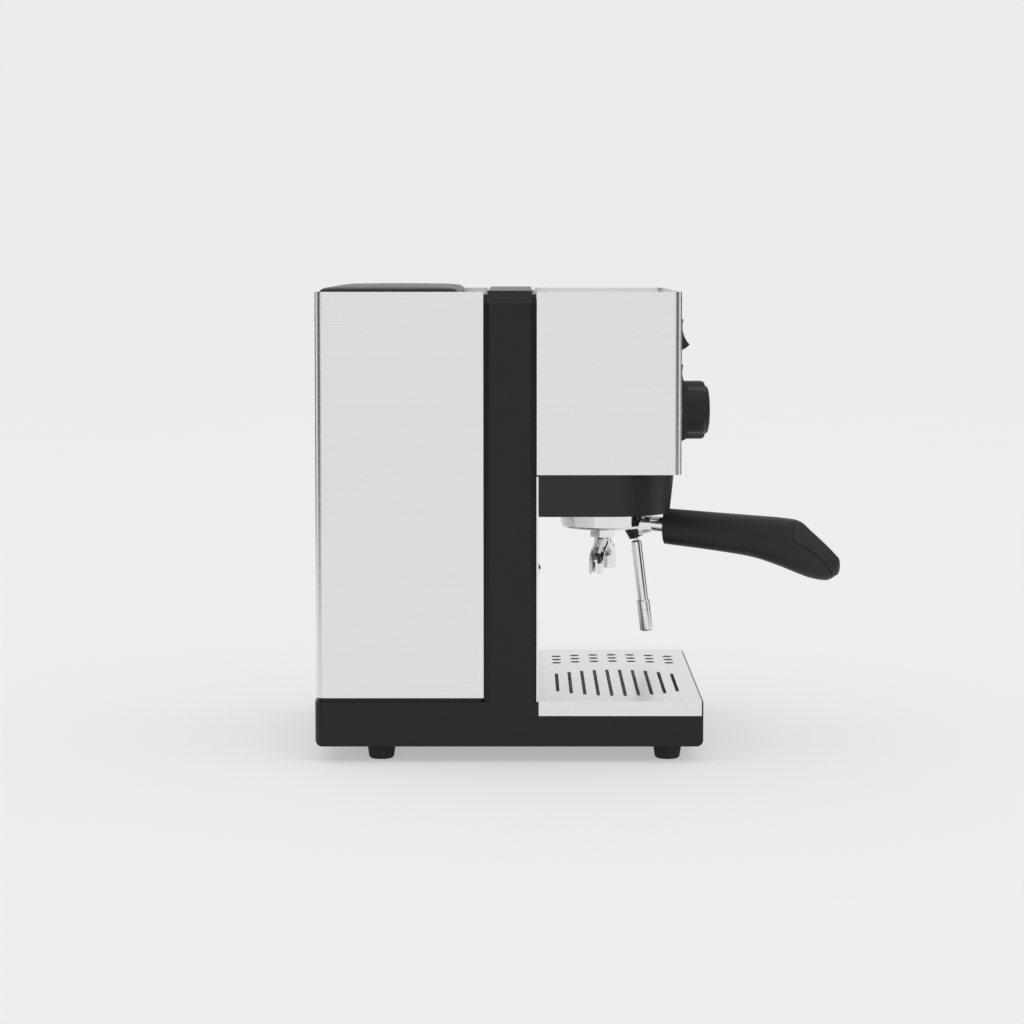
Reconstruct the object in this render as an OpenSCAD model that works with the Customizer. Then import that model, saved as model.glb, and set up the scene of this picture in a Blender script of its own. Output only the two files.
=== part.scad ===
// Espresso machine for the home: one boiler, one group, a lever-locked filter holder and a steam wand.
// +Z is up, the front faces -Y and the user's left is -X. The origin is on the table, under the middle
// of the box round the whole machine. All sizes are in millimetres.

/* [Overall] */
// Width across the two side columns
body_w = 235; // [233:0.5:237]
// Depth from the back of the base to the tip of the handle
total_depth = 384.4; // [384:0.1:385]
// Height of the panels' top edges above the table
panel_top = 337.3; // [336:0.1:339]

/* [Base] */
// Length of the base, front to back
base_len = 278.4; // [278:0.1:279]
// Height of the rubber feet
foot_h = 12; // [10:0.5:14]
// Height of the base's top flange above the table
base_top = 44; // [43.5:0.1:44.5]
// Thickness of the base's pressed steel
base_wall = 1.5; // [1:0.1:1.8]

/* [Panels] */
// Thickness of the steel panels
skin = 1; // [0.8:0.1:1.2]
// Thickness of the folded hem along the panels' top and bottom edges
hem = 2.4; // [2:0.1:2.8]
// Outer bend radius of the rear housing's upright corners
rear_bend = 5.4; // [4:0.2:8]
// Outer bend radius of the front housing's upright corners
front_bend = 6.3; // [4:0.2:8]
// Height of the front housing's lower edge above the table
box_bottom = 207; // [206.5:0.1:207.5]

/* [Side columns] */
// Width of a column, front to back
col_w = 37.3; // [37:0.1:37.6]
// Depth of a column's channel
col_depth = 20; // [16:0.5:22]

/* [Drip tray] */
// Height of the grate's top above the table
grate_top = 44.8; // [44.5:0.1:45.2]
// Number of long slots in the grate
slot_count = 10; // [8:1:11]
// Columns of round holes in the grate
hole_cols = 7; // [5:1:7]

/* [Group and filter holder] */
// How far the handle is turned to the user's left of straight ahead, in degrees
handle_turn = 16; // [0:1:18]
// Outer radius of the filter holder's bowl
bowl_r = 34.5; // [34:0.1:34.8]
// Outer radius of the boiler
boiler_r = 38; // [34:0.5:38]

/* [Steam] */
// Distance of the steam knob and wand from the middle
steam_x = 65; // [62:0.5:68]
// Height of the steam knob's axis above the table
knob_z = 242.4; // [240:0.2:244]
// Outer radius of the steam knob
knob_r = 22.8; // [20:0.2:24]
// Outer radius of the wand's tube
wand_r = 4.25; // [3.6:0.05:4.4]
// Outer radius of the neck between the ball and the tube
neck_r = 2; // [1.8:0.1:2]

/* [Switches] */
// Distance of the column of rockers from the middle
rocker_x = 84; // [82:0.5:86]
// Height of the lowest rocker's middle
rocker_z = 240.9; // [240:0.1:242]
// Distance from one rocker to the next
rocker_pitch = 32.8; // [32:0.1:33.4]
// Angle that a rocker tips through, in degrees
rocker_travel = 28; // [20:1:28]

/* [Water tank] */
// Half the width of the tank
tank_x = 80; // [70:1:82]
// Height of the tank's underside
tank_z = 130; // [128.5:0.5:140]

/* [Hidden] */
$fn = 48;
half_w = body_w / 2;
y_back = total_depth / 2;
y_front = y_back - base_len;
panel_x = half_w - 0.4;
panel_back = y_back - 0.9;
col_y0 = y_back - 158.5;
col_y1 = col_y0 + col_w;
box_front = y_front + 16;
box_back = col_y0 - 0.3;
group_y = col_y0 - 51.3;
front_lip = 1.2;
tray_side_z = 34;
tray_back = col_y0 - 1.9;
tray_z = foot_h + 7.6;
foot_x = 95;
foot_y = [y_back - 46.7, y_front + 24.7];
apron_z = 177;
apron_front = box_front + 3;
apron_lean = 4.5;
apron_wall = 2;
backsplash_y = col_y0 - 1.7;
cup_tray_z = 331.3;
deck_z = 329.7;
shelf_z = 126.5;
boiler_z = 235;
boiler_top = 314;
knob_y = box_front - 2.4;
knob_len = 26.5;
knob_face_r = 18.7;
knob_face_len = 4.2;
spindle_r = 4;
running_gap = 0.05;
rocker_r = 11.8;
rocker_half = 12.8;
rocker_depth = 3;
power_x = 50;
// The wand hangs from a ball in a nut that leans forward; the wand itself leans a little less.
nut_lean = 20;
wand_lean = 6.74;
ball_r = 4.2;
pin_r = 1.2;
ball_at = [steam_x, group_y - 27.5, 146.2];
nut_below_ball = 4;
wand_len = 78.7;
tip_len = 24.7;
feed_y = ball_at[1] + 17.6 * sin(nut_lean);
// The holder's bowl: rim, floor and the lugs that turn under the group's collar.
rim_z = 192;
bowl_floor = 157.5;
lug_r = 39.9;
lug_z = [181.5, 187.5];
insert_turn = -50;
handle_start = 49;
// Sections across the handle: distance from the group, height of the middle, half height, half width
handle_rings = [
  [49, 159.4, 13.4, 13.2], [87, 156.5, 14.3, 13.8], [116, 153.8, 15.6, 14.4], [136, 150.3, 18, 15],
  [150, 146.6, 19.5, 15], [160, 141, 17, 14.4], [171.5, 135.3, 12.4, 12.6]
];
handle_tip = 181.3;
pump_at = [0, 140, 75];
inlet_at = [75, 78];
coupling_at = [-50, 150];

steel = [0.80, 0.80, 0.79];
bright = [0.88, 0.88, 0.88];
black_paint = [0.13, 0.13, 0.13];
black_plastic = [0.10, 0.10, 0.10];
rubber_black = [0.07, 0.07, 0.07];
brass = [0.75, 0.62, 0.32];
copper = [0.75, 0.45, 0.30];

// ---- Shared shapes ----

// Outline with half width x from y0 to y1, with corners of radius r0 at y0 and r1 at y1
module corner_box(x, y0, y1, r0, r1) {
  mid = (y0 + y1) / 2;
  translate([-x, y0 + r0]) square([2 * x, y1 - y0 - r0 - r1]);
  translate([-x + r0, y0]) square([2 * (x - r0), mid - y0 + 1]);
  translate([-x + r1, mid - 1]) square([2 * (x - r1), y1 - mid + 1]);
  for (side = [-1, 1]) {
    translate([side * (x - r0), y0 + r0]) circle(r0);
    translate([side * (x - r1), y1 - r1]) circle(r1);
  }
}

// Extrudes an outline drawn in Y and Z along X, from x0 to x1
module along_x(x0, x1) {
  translate([x0, 0, 0]) rotate([90, 0, 90]) linear_extrude(x1 - x0) children();
}

// A box given by its lowest and highest corners
module span(lo, hi) {
  translate(lo) cube(hi - lo);
}

// A round bar from p to q
module rod(p, q, r) {
  d = q - p;
  len = norm(d);
  translate(p) rotate([0, acos(d[2] / len), atan2(d[1], d[0])]) cylinder(h = len, r = r);
}

function unit(v) = v / norm(v);

// The points of a path whose inner corners are rounded, starting the bend a distance b from each corner
function rounded(points, b) = concat(
  [points[0]],
  [for (i = [1 : 1 : len(points) - 2]) for (t = [0 : 0.2 : 1])
    points[i] + unit(points[i - 1] - points[i]) * b * (1 - t) * (1 - t)
      + unit(points[i + 1] - points[i]) * b * t * t],
  [points[len(points) - 1]]
);

// The direction of a path at its point i
function heading(path, i) = unit(path[min(i + 1, len(path) - 1)] - path[max(i - 1, 0)]);

// A sideways direction at each point, carried along so that the tube doesn't twist
function sideways(path, last, i = 0) = i == len(path) ? [] :
  let (h = heading(path, i), n = unit(last - (last * h) * h)) concat([n], sideways(path, n, i + 1));

// A tube along a path with rounded corners; start is any direction across the path's first stretch
module swept(points, r, b, start, sides = 10) {
  path = rounded(points, b);
  side = sideways(path, start);
  last = (len(path) - 1) * sides;
  polyhedron(
    [for (i = [0 : len(path) - 1]) for (j = [0 : sides - 1])
      let (a = 360 * j / sides) path[i] + r * (cos(a) * side[i] + sin(a) * cross(heading(path, i), side[i]))],
    concat(
      [[for (j = [0 : sides - 1]) j]],
      [for (i = [0 : len(path) - 2]) for (j = [0 : sides - 1])
        let (k = (j + 1) % sides) [i * sides + j, (i + 1) * sides + j, (i + 1) * sides + k, i * sides + k]],
      [[for (j = [sides - 1 : -1 : 0]) last + j]]
    ), 4);
}

// A round part on an axis along Y that starts at y and points forward, to -Y
module forward(x, y, z) {
  translate([x, y, z]) rotate([90, 0, 0]) children();
}

// A washer or ring on a Z axis
module ring(r_out, r_in, z0, z1) {
  translate([0, 0, z0]) linear_extrude(z1 - z0) difference() {
    circle(r_out);
    circle(r_in);
  }
}

// Domed screw head of radius r and height h on its shank, head up
module dome_screw(r, h, shank_r, shank_len) {
  ball = (r * r + h * h) / (2 * h);
  intersection() {
    translate([0, 0, h - ball]) sphere(ball);
    cylinder(h = h, r = r);
  }
  translate([0, 0, -shank_len]) cylinder(h = shank_len, r = shank_r);
}

// ---- Base ----

// The base's block, drawn in by i on all sides but the top
module base_block(i, top) {
  r = 5 - i;
  intersection() {
    translate([0, 0, foot_h + i]) linear_extrude(top - foot_h - i)
      corner_box(half_w - i, y_front + i, y_back - i, 2, 6.5 - i);
    along_x(-half_w, half_w) union() {
      translate([y_front + i, foot_h + 5]) square([base_len - 2 * i, top - foot_h]);
      translate([y_front + i + r, foot_h + i]) square([base_len - 2 * i - 2 * r, 10]);
      for (y = [y_front + 5, y_back - 5]) translate([y, foot_h + 5]) circle(r);
    }
  }
}

module base_pan() {
  lip = 8;
  color(black_paint) difference() {
    union() {
      difference() {
        base_block(0, base_top);
        base_block(base_wall, base_top + 1);
        span([-half_w - 1, y_front + front_lip, tray_side_z], [half_w + 1, tray_back + 0.5, base_top + 1]);
      }
      // Flange that the columns and the housing stand on, with the lip that the housing fits round
      difference() {
        intersection() {
          translate([0, 0, base_top - base_wall]) linear_extrude(base_wall)
            corner_box(half_w - 0.2, y_front, y_back - 0.2, 2, 6.3);
          span([-half_w, tray_back + 0.5, 0], [half_w, y_back, base_top]);
        }
        span([-half_w + 14, col_y0, 0], [half_w - 14, y_back - 14, base_top + 1]);
      }
      difference() {
        translate([0, 0, base_top - 1]) linear_extrude(lip + 1)
          corner_box(panel_x - skin - 0.05, col_y1 + 1.2, panel_back - skin - 0.05, 1, rear_bend - skin);
        translate([0, 0, base_top - 2]) linear_extrude(lip + 4)
          corner_box(panel_x - skin - 1.5, col_y1 - 8, panel_back - skin - 1.5, 1, rear_bend - skin - 1.4);
      }
      // Cross wall between the tray's recess and the works
      span(
        [-half_w + 1, tray_back + 0.6, foot_h + 1],
        [half_w - 1, tray_back + 0.6 + base_wall, base_top - 1]
      );
      for (x = [-foot_x, foot_x]) for (y = foot_y) translate([x, y, foot_h + 1]) cylinder(h = 2.4, r = 8);
      // Rails that hold the drip tray clear of the feet's nuts
      for (x = [-55, 55]) span([x - 3, y_front + 8, foot_h + 1], [x + 3, tray_back - 6, tray_z - 0.1]);
    }
    for (x = [-foot_x, foot_x]) for (y = foot_y) translate([x, y, foot_h - 1]) cylinder(h = 8, r = 2.6);
    for (i = [-4 : 4]) span([i * 16 - 2, 75, foot_h - 1], [i * 16 + 2, 110, foot_h + 3]);
  }
}

module feet() {
  color(rubber_black) for (x = [-foot_x, foot_x]) for (y = foot_y) translate([x, y, 0]) rotate_extrude()
    polygon([
      [2.6, 4], [6, 4], [6, 0], [8, 0], [9, 1], [10.6, foot_h - 0.6], [10.2, foot_h], [2.6, foot_h]
    ]);
}

module foot_screws() {
  color(steel) for (x = [-foot_x, foot_x]) for (y = foot_y) translate([x, y, 0]) {
    translate([0, 0, 4]) rotate([180, 0, 0]) dome_screw(5, 2.6, 2.5, foot_h + 1.5);
    translate([0, 0, foot_h + 3.4]) difference() {
      cylinder(h = 4, r = 4.6, $fn = 6);
      translate([0, 0, -1]) cylinder(h = 3.1, r = 2.5);
    }
  }
}

// ---- Frame ----

// One column's channel in plan, on the user's right
module column_plan() {
  difference() {
    polygon([
      [half_w - col_depth, col_y0], [half_w - 1.6, col_y0], [half_w, col_y0 + 4], [half_w, col_y1 - 4],
      [half_w - 1.6, col_y1], [half_w - col_depth, col_y1]
    ]);
    polygon([
      [half_w - col_depth - 1, col_y0 + 1.5], [half_w - 2.6, col_y0 + 1.5], [half_w - 1.5, col_y0 + 4.4],
      [half_w - 1.5, col_y1 - 4.4], [half_w - 2.6, col_y1 - 1.5], [half_w - col_depth - 1, col_y1 - 1.5]
    ]);
  }
}

module frame_hoop() {
  leg_top = 329.2;
  bridge_x = half_w - 1.5;
  color(black_paint) {
    for (side = [0, 1]) mirror([side, 0, 0]) translate([0, 0, base_top]) linear_extrude(leg_top - base_top)
      column_plan();
    // Cross member over the top, a channel that opens downward
    difference() {
      span([-bridge_x, col_y0, 314], [bridge_x, col_y1, 335.5]);
      span([-bridge_x + 1.5, col_y0 + 1.5, 313], [bridge_x - 1.5, col_y1 - 1.5, 334]);
    }
  }
}

module bridge_cap() {
  inset = 2.85;
  cap_top = panel_top + 0.9;
  color(black_plastic) difference() {
    span([-half_w, col_y0 + inset, 329.2], [half_w, col_y1 - inset, cap_top]);
    span([-half_w + 1.4, col_y0, 329], [half_w - 1.4, col_y1, 335.5]);
    span([-half_w + 4, col_y0 + inset + 2, 330], [half_w - 4, col_y1 - inset - 2, cap_top - 1.5]);
  }
}

// ---- Panels ----

module rear_housing() {
  bottom = base_top + 2.9;
  module plan(i) {
    corner_box(panel_x - i, col_y1 + 0.1, panel_back - i, 0.3, rear_bend - i);
  }
  color(steel) difference() {
    translate([0, 0, bottom]) linear_extrude(panel_top - bottom) plan(0);
    // Inside, stepped in at the hem along the top
    translate([0, 0, bottom - 1]) linear_extrude(panel_top - bottom - 7) difference() {
      plan(skin);
      for (side = [-1, 1]) translate([side * panel_x, col_y1]) square([26, 2.2], center = true);
    }
    translate([0, 0, panel_top - 9]) linear_extrude(20) plan(hem);
    span([-panel_x + hem, col_y1 - 1, panel_top - 9], [panel_x - hem, col_y1 + 5, panel_top + 1]);
    span([-panel_x + 13, col_y1 - 1, bottom - 1], [panel_x - 13, col_y1 + 5, panel_top + 1]);
    // Power inlet's cut-out and the cooling slots in the back
    span(
      [inlet_at[0] - 14, panel_back - 5, inlet_at[1] - 10.5],
      [inlet_at[0] + 14, panel_back + 1, inlet_at[1] + 10.5]
    );
    for (row = [0, 1]) for (i = [-5 : 5])
      span([i * 12 - 2, panel_back - 5, 266 + row * 26], [i * 12 + 2, panel_back + 1, 284 + row * 26]);
    for (x = [-104, 104]) for (z = [60, 318]) forward(x, panel_back + 1, z) cylinder(h = 6, r = 2.1);
  }
}

module front_housing() {
  module plan(i) {
    corner_box(panel_x - i, box_front + i, box_back, front_bend - i, 0.3);
  }
  color(steel) difference() {
    translate([0, 0, box_bottom]) linear_extrude(panel_top - box_bottom) plan(0);
    translate([0, 0, box_bottom - 1]) linear_extrude(8) plan(hem);
    translate([0, 0, box_bottom + 6]) linear_extrude(panel_top - box_bottom - 14) plan(skin);
    translate([0, 0, panel_top - 9]) linear_extrude(20) plan(hem);
    span([-panel_x + hem, box_back - 3, box_bottom - 1], [panel_x - hem, box_back + 1, panel_top + 1]);
    for (at = switch_places()) span(
      [at[0] - 14.2, box_front - 1, at[1] - 13.1], [at[0] + 14.2, box_front + 4, at[1] + 13.1]
    );
    forward(steam_x, box_front + 4, knob_z) cylinder(h = 6, r = 9);
  }
}

module cup_tray() {
  x = panel_x - hem - 0.1;
  y0 = box_front + hem + 0.1;
  y1 = col_y0 - 0.2;
  color(steel) difference() {
    translate([0, 0, cup_tray_z - 7]) linear_extrude(8) corner_box(x, y0, y1, front_bend - hem, 0.3);
    translate([0, 0, cup_tray_z - 8]) linear_extrude(8)
      corner_box(x - 1, y0 + 1, y1 - 1, front_bend - hem - 1, 0.3);
    for (i = [-6 : 6]) for (y = [-36, -2]) {
      span([i * 14 - 1.6, y - 11, cup_tray_z - 1], [i * 14 + 1.6, y + 11, cup_tray_z + 2]);
    }
    for (x = [-104, 104]) for (y = [-56, 22]) translate([x, y, cup_tray_z - 1]) cylinder(h = 3, r = 2.1);
  }
}

module case_screws() {
  head_y = panel_back;
  color(bright) {
    for (x = [-104, 104]) for (y = [-56, 22]) translate([x, y, cup_tray_z + 1]) dome_screw(4, 1.8, 2, 5);
    for (x = [-105, 105]) forward(x, backsplash_y, 138.5) dome_screw(4.6, 1.9, 2, 1.4);
    for (x = [-104, 104]) for (z = [60, 318]) translate([x, head_y, z]) rotate([-90, 0, 0])
      dome_screw(4, 0.85, 2, 5);
  }
}

module tank_deck() {
  x = panel_x - hem - 0.1;
  color(steel) difference() {
    translate([0, 0, deck_z - 8]) linear_extrude(9.3)
      corner_box(x, col_y1 + 1.4, panel_back - hem - 0.1, 0.3, rear_bend - hem);
    translate([0, 0, deck_z - 9]) linear_extrude(9)
      corner_box(x - 1, col_y1 + 2.4, panel_back - hem - 1.1, 0.3, rear_bend - hem - 1);
    translate([0, 0, deck_z - 1]) linear_extrude(4) corner_box(tank_x + 1.5, 98.5, 184.5, 9, 9);
    span([-110, 70, deck_z - 9], [110, 80, deck_z]);
  }
}

module backsplash() {
  color(steel) difference() {
    span([-half_w + 0.7, backsplash_y, base_top + 0.1], [half_w - 0.7, backsplash_y + 1.4, box_bottom - 1.2]);
    for (x = [-105, 105]) forward(x, backsplash_y + 5, 138.5) cylinder(h = 10, r = 2);
  }
}

module apron() {
  top = box_bottom - 0.2;
  plan_r = 48;
  // The apron's block, drawn in by i
  module block(i, z0, z1) {
    intersection() {
      translate([0, 0, z0]) linear_extrude(z1 - z0)
        corner_box(panel_x - 0.3 - i, apron_front + i, tray_back + (i > 0 ? 10 : 0), plan_r - i, 0.3);
      along_x(-half_w, half_w) polygon([
        [apron_front + i, top + 1], [apron_front + apron_lean + i, apron_z - 1],
        [tray_back + 20, apron_z - 1], [tray_back + 20, top + 1]
      ]);
    }
  }
  color(black_plastic) difference() {
    block(0, apron_z, top);
    block(apron_wall, apron_z + apron_wall, top + 1);
    translate([0, group_y, apron_z - 1]) cylinder(h = 5, r = 43.5);
    translate([steam_x, feed_y, apron_z - 1]) cylinder(h = 5, r = 8);
    translate([-38, 24, apron_z - 1]) cylinder(h = 5, r = 4);
  }
}

// ---- Drip tray ----

module drip_tray() {
  color(steel) difference() {
    translate([0, 0, tray_z]) linear_extrude(grate_top - 1.4 - tray_z)
      corner_box(half_w - 2.6, y_front + 2.4, tray_back - 1, 3, 3);
    translate([0, 0, tray_z + 1]) linear_extrude(grate_top)
      corner_box(half_w - 3.6, y_front + 3.4, tray_back - 2, 2, 2);
  }
}

module drip_grate() {
  y0 = y_front + front_lip + 0.1;
  mid_y = y0 + 58.6;
  color(steel) difference() {
    span([-half_w, y0, tray_side_z + 0.1], [half_w, tray_back, grate_top]);
    span([-half_w + 1, y0 + 1, tray_side_z - 1], [half_w - 1, tray_back + 1, grate_top - 1.2]);
    // Slots whose ends follow a bow
    for (i = [0 : slot_count - 1]) {
      t = (2 * i + 1 - slot_count) / (slot_count - 1);
      near = -95 + 19 * t * t;
      far = 18 - 18 * t * t;
      y = mid_y + t * 43.8;
      span([near, y - 1.3, grate_top - 2], [far, y + 1.3, grate_top + 1]);
      for (x = [near, far]) translate([x, y, grate_top - 2]) cylinder(h = 3, r = 1.3);
    }
    for (i = [0 : hole_cols - 1]) for (row = [0 : 2]) {
      t = (2 * i + 1 - hole_cols) / (hole_cols - 1);
      translate([59.5 + 15.6 * row - 8 * t * t, mid_y - 1.1 + t * 44, grate_top - 2])
        cylinder(h = 3, r = 3.75);
    }
  }
}

// ---- Water tank ----

module water_tank() {
  color([0.85, 0.88, 0.90, 0.6]) difference() {
    union() {
      translate([0, 0, tank_z]) linear_extrude(202.2) corner_box(tank_x, 100, 183, 8, 8);
      translate([0, 0, 331.2]) linear_extrude(2.4) corner_box(tank_x + 4, 96, 185.7, 11, 11);
      translate([coupling_at[0], coupling_at[1], tank_z - 10]) cylinder(h = 12, r = 8);
    }
    translate([0, 0, tank_z + 2.4]) linear_extrude(220) corner_box(tank_x - 2.2, 102.2, 180.8, 6, 6);
    translate([coupling_at[0], coupling_at[1], tank_z - 11]) cylinder(h = 20, r = 5);
  }
}

module tank_valve() {
  color(black_plastic) translate([coupling_at[0], coupling_at[1], tank_z - 9]) {
    cylinder(h = 12, r = 5);
    translate([0, 0, 11.4]) cylinder(h = 5, r = 7.5);
    translate([0, 0, 16.4]) cylinder(h = 10, r = 4);
  }
}

module tank_coupling() {
  color(rubber_black) translate([coupling_at[0], coupling_at[1], 0]) difference() {
    union() {
      translate([0, 0, 116]) cylinder(h = 13, r = 11);
      translate([0, 0, shelf_z + 1.5]) cylinder(h = 1.9, r = 14);
      translate([0, 0, 106]) cylinder(h = 11, r = 3);
    }
    translate([0, 0, 118.5]) cylinder(h = 20, r = 8.1);
    translate([0, 0, 105]) cylinder(h = 20, r = 1.6);
  }
}

module tank_shelf() {
  wall = 1.5;
  x = 106;
  y0 = 95;
  y1 = 185.5;
  color(steel) difference() {
    // The legs stand on the base's flange and end short of the case screws
    span([-x, y0, base_top], [x, y1, shelf_z + wall]);
    span([-x + wall, y0 - 5, base_top - 1], [x - wall, y1 + 5, shelf_z]);
    translate([coupling_at[0], coupling_at[1], shelf_z - 1]) cylinder(h = 4, r = 11.1);
    for (i = [-3 : 3]) span([i * 24 - 6 + 12, 104, shelf_z - 1], [i * 24 + 6 + 12, 122, shelf_z + 2]);
  }
}

module tank_lid() {
  y0 = 88;
  y1 = y_back - 3.6;
  color(black_plastic) difference() {
    hull() {
      translate([0, 0, deck_z + 1.5]) linear_extrude(7.5) corner_box(110, y0, y1, 12, 4, $fn = 32);
      translate([0, 0, deck_z + 9]) linear_extrude(2.6) corner_box(106.5, y0 + 3.4, y1 - 3.4, 9, 3, $fn = 32);
    }
    translate([0, 0, deck_z - 1]) linear_extrude(8.6) corner_box(107.4, y0 + 2.6, y1 - 2.6, 9, 2);
    // Finger hollow in the middle of the top
    translate([0, (y0 + y1) / 2, deck_z + 11.6]) intersection() {
      translate([0, 0, 54]) sphere(56, $fn = 96);
      span([-34, -20, -2], [34, 20, 2]);
    }
  }
}

// ---- Pump and hoses ----

module water_pump() {
  color([0.55, 0.56, 0.58]) translate(pump_at) {
    span([-24, -21, -21], [24, 21, 21]);
    rotate([0, 90, 0]) translate([0, 0, -58]) cylinder(h = 36, r = 9);
    rotate([0, 90, 0]) translate([0, 0, 22]) cylinder(h = 36, r = 9);
    rotate([0, 90, 0]) translate([0, 0, -66]) cylinder(h = 9, r = 3);
    rotate([0, 90, 0]) translate([0, 0, 33]) cylinder(h = 8, r = 11.5, $fn = 6);
    span([-8, -12, 20], [-5, -4, 29]);
    span([5, -12, 20], [8, -4, 29]);
  }
}

module pump_bracket() {
  x = 50;
  color(steel) difference() {
    union() {
      span([-x, 120, foot_h + 1.5], [x, 160, foot_h + 3]);
      for (side = [-1, 1]) span([side * x - 0.75, 120, foot_h + 1.5], [side * x + 0.75, 160, 91]);
    }
    for (side = [-1, 1]) translate([side * x, pump_at[1], pump_at[2]]) rotate([0, 90, 0])
      cylinder(h = 6, r = 13, center = true);
  }
}

module pump_mounts() {
  color(rubber_black) for (side = [-1, 1]) translate([side * 50, pump_at[1], pump_at[2]]) rotate([0, 90, 0])
    difference() {
      union() {
        cylinder(h = 8, r = 13, center = true);
        for (end = [-2.6, 2.6]) translate([0, 0, end]) cylinder(h = 3, r = 15.5, center = true);
      }
      cylinder(h = 20, r = 9, center = true);
    }
}

module relief_valve() {
  color(brass) translate([69, pump_at[1], pump_at[2]]) {
    span([-11, -9, -9], [11, 9, 9]);
    cylinder(h = 15, r = 4);
    translate([10, 0, 0]) rotate([0, 90, 0]) cylinder(h = 12, r = 8, $fn = 6);
    translate([22, 0, 0]) rotate([0, 90, 0]) cylinder(h = 4, r = 4);
  }
}

module suction_hose() {
  x = coupling_at[0];
  y = coupling_at[1];
  color([0.85, 0.85, 0.82]) swept([
    [x, y, 106], [x, y, 98], [x - 32, y - 10, 98], [x - 32, y - 10, pump_at[2]],
    [-66, pump_at[1], pump_at[2]]
  ], 4.6, 7, [0, 1, 0]);
}

module pressure_hose() {
  color([0.78, 0.78, 0.76]) swept([
    [69, 140, 90], [69, 140, 106], [88, 104, 112], [88, 56, 130], [88, 56, 262], [20, 52, 262],
    [0, 36, 262], [0, group_y + boiler_r, 262]
  ], 3.6, 7, [0, 1, 0]);
}

// ---- Boiler and group ----

module boiler() {
  r = boiler_r;
  color(brass) translate([0, group_y, 0]) difference() {
    union() {
      rotate_extrude() polygon([
        [r - 3, boiler_z], [48, boiler_z], [48, boiler_z + 8], [r, boiler_z + 8], [r, boiler_top - 10],
        [r - 4, boiler_top - 3], [r - 12, boiler_top], [0, boiler_top], [0, boiler_top - 3.5],
        [r - 13, boiler_top - 3.5], [r - 6, boiler_top - 6], [r - 3, boiler_top - 11]
      ]);
      translate([0, -20, boiler_top - 1]) cylinder(h = 5, r = 5, $fn = 6);
    }
    for (a = [30 : 60 : 330]) rotate(a) translate([43, 0, boiler_z - 1]) cylinder(h = 12, r = 2.7);
    for (x = [-7.5, 7.5]) translate([x, 20.7, boiler_top - 6]) cylinder(h = 10, r = 3.5);
    translate([0, -20, boiler_top - 6]) cylinder(h = 20, r = 2);
  }
}

module heating_element() {
  loop_z = 258;
  end_z = boiler_top + 4;
  loop = [for (a = [110 : 20 : 430]) [22 * cos(a), 22 * sin(a), loop_z]];
  ends = [loop[0], loop[len(loop) - 1]];
  color(copper) translate([0, group_y, 0]) {
    swept(concat(
      [[ends[0][0], ends[0][1], end_z]], loop, [[ends[1][0], ends[1][1], end_z]]
    ), 3.4, 3, [1, 0, 0]);
    for (end = ends) translate([end[0], end[1], end_z - 1]) cylinder(h = 8, r = 1.6);
  }
}

module boiler_gasket() {
  color(rubber_black) translate([0, group_y, 0]) difference() {
    ring(48, boiler_r - 3, boiler_z - 2, boiler_z);
    for (a = [30 : 60 : 330]) rotate(a) translate([43, 0, boiler_z - 3]) cylinder(h = 6, r = 2.7);
  }
}

module group_bolts() {
  color(steel) translate([0, group_y, 0]) for (a = [30 : 60 : 330]) rotate(a) translate([43, 0, 0]) {
    difference() {
      translate([0, 0, boiler_z + 8]) cylinder(h = 5, r = 4.2);
      translate([0, 0, boiler_z + 10.5]) cylinder(h = 5, r = 2.3, $fn = 6);
    }
    translate([0, 0, boiler_z - 12]) cylinder(h = 20.5, r = 2.5);
  }
}

module group_head() {
  z = apron_z + 1.5;
  color(bright) translate([0, group_y, 0]) difference() {
    rotate_extrude() polygon([
      [36.2, z], [43, z], [43, 200], [40, 208], [40, 221], [48, 221], [48, boiler_z - 2],
      [2.5, boiler_z - 2], [2.5, 206], [28.4, 206], [28.4, 201], [36.2, 201], [36.2, 188.2],
      [40.5, 188.2], [40.5, 181], [36.2, 181]
    ]);
    // Gaps in the collar that let the holder's lugs in
    for (half = [0, 180]) rotate(insert_turn - 23 + half) translate([0, 0, z - 1])
      rotate_extrude(angle = 46) translate([35.5, 0]) square([5, 181.2 - z + 1]);
    for (a = [30 : 60 : 330]) rotate(a) translate([43, 0, 222]) cylinder(h = 20, r = 2.5);
    // Water ways: down from the boiler, and back to the solenoid valve
    for (x = [-12, 12]) translate([x, 14, 205]) cylinder(h = 40, r = 1.8);
    translate([-12, 20, 214]) rotate([-90, 0, 0]) cylinder(h = 30, r = 1.8);
  }
}

module group_gasket() {
  color(rubber_black) translate([0, group_y, 0]) ring(36, 28.6, rim_z + 1.2, 201);
}

module dispersion_plate() {
  color(brass) translate([0, group_y, 0]) difference() {
    ring(28.2, 2.6, 201.2, 205.8);
    for (a = [0 : 45 : 315]) rotate(a) translate([16, 0, 200]) cylinder(h = 8, r = 1.5);
  }
}

module shower_screen() {
  color(bright) translate([0, group_y, 0]) difference() {
    translate([0, 0, 199.4]) cylinder(h = 1.7, r = 28.2);
    translate([0, 0, 200.2]) cylinder(h = 2, r = 27.4);
    translate([0, 0, 198]) cylinder(h = 4, r = 2.6);
    for (turn = [0 : 11]) for (k = [0 : 3]) rotate(turn * 30 + k * 8)
      translate([7.5 + 5.5 * k, 0, 198]) cylinder(h = 4, r = 0.9);
  }
}

module shower_screw() {
  color(steel) translate([0, group_y, 199.4]) rotate([180, 0, 0]) dome_screw(5, 2, 2.5, 12);
}

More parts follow.
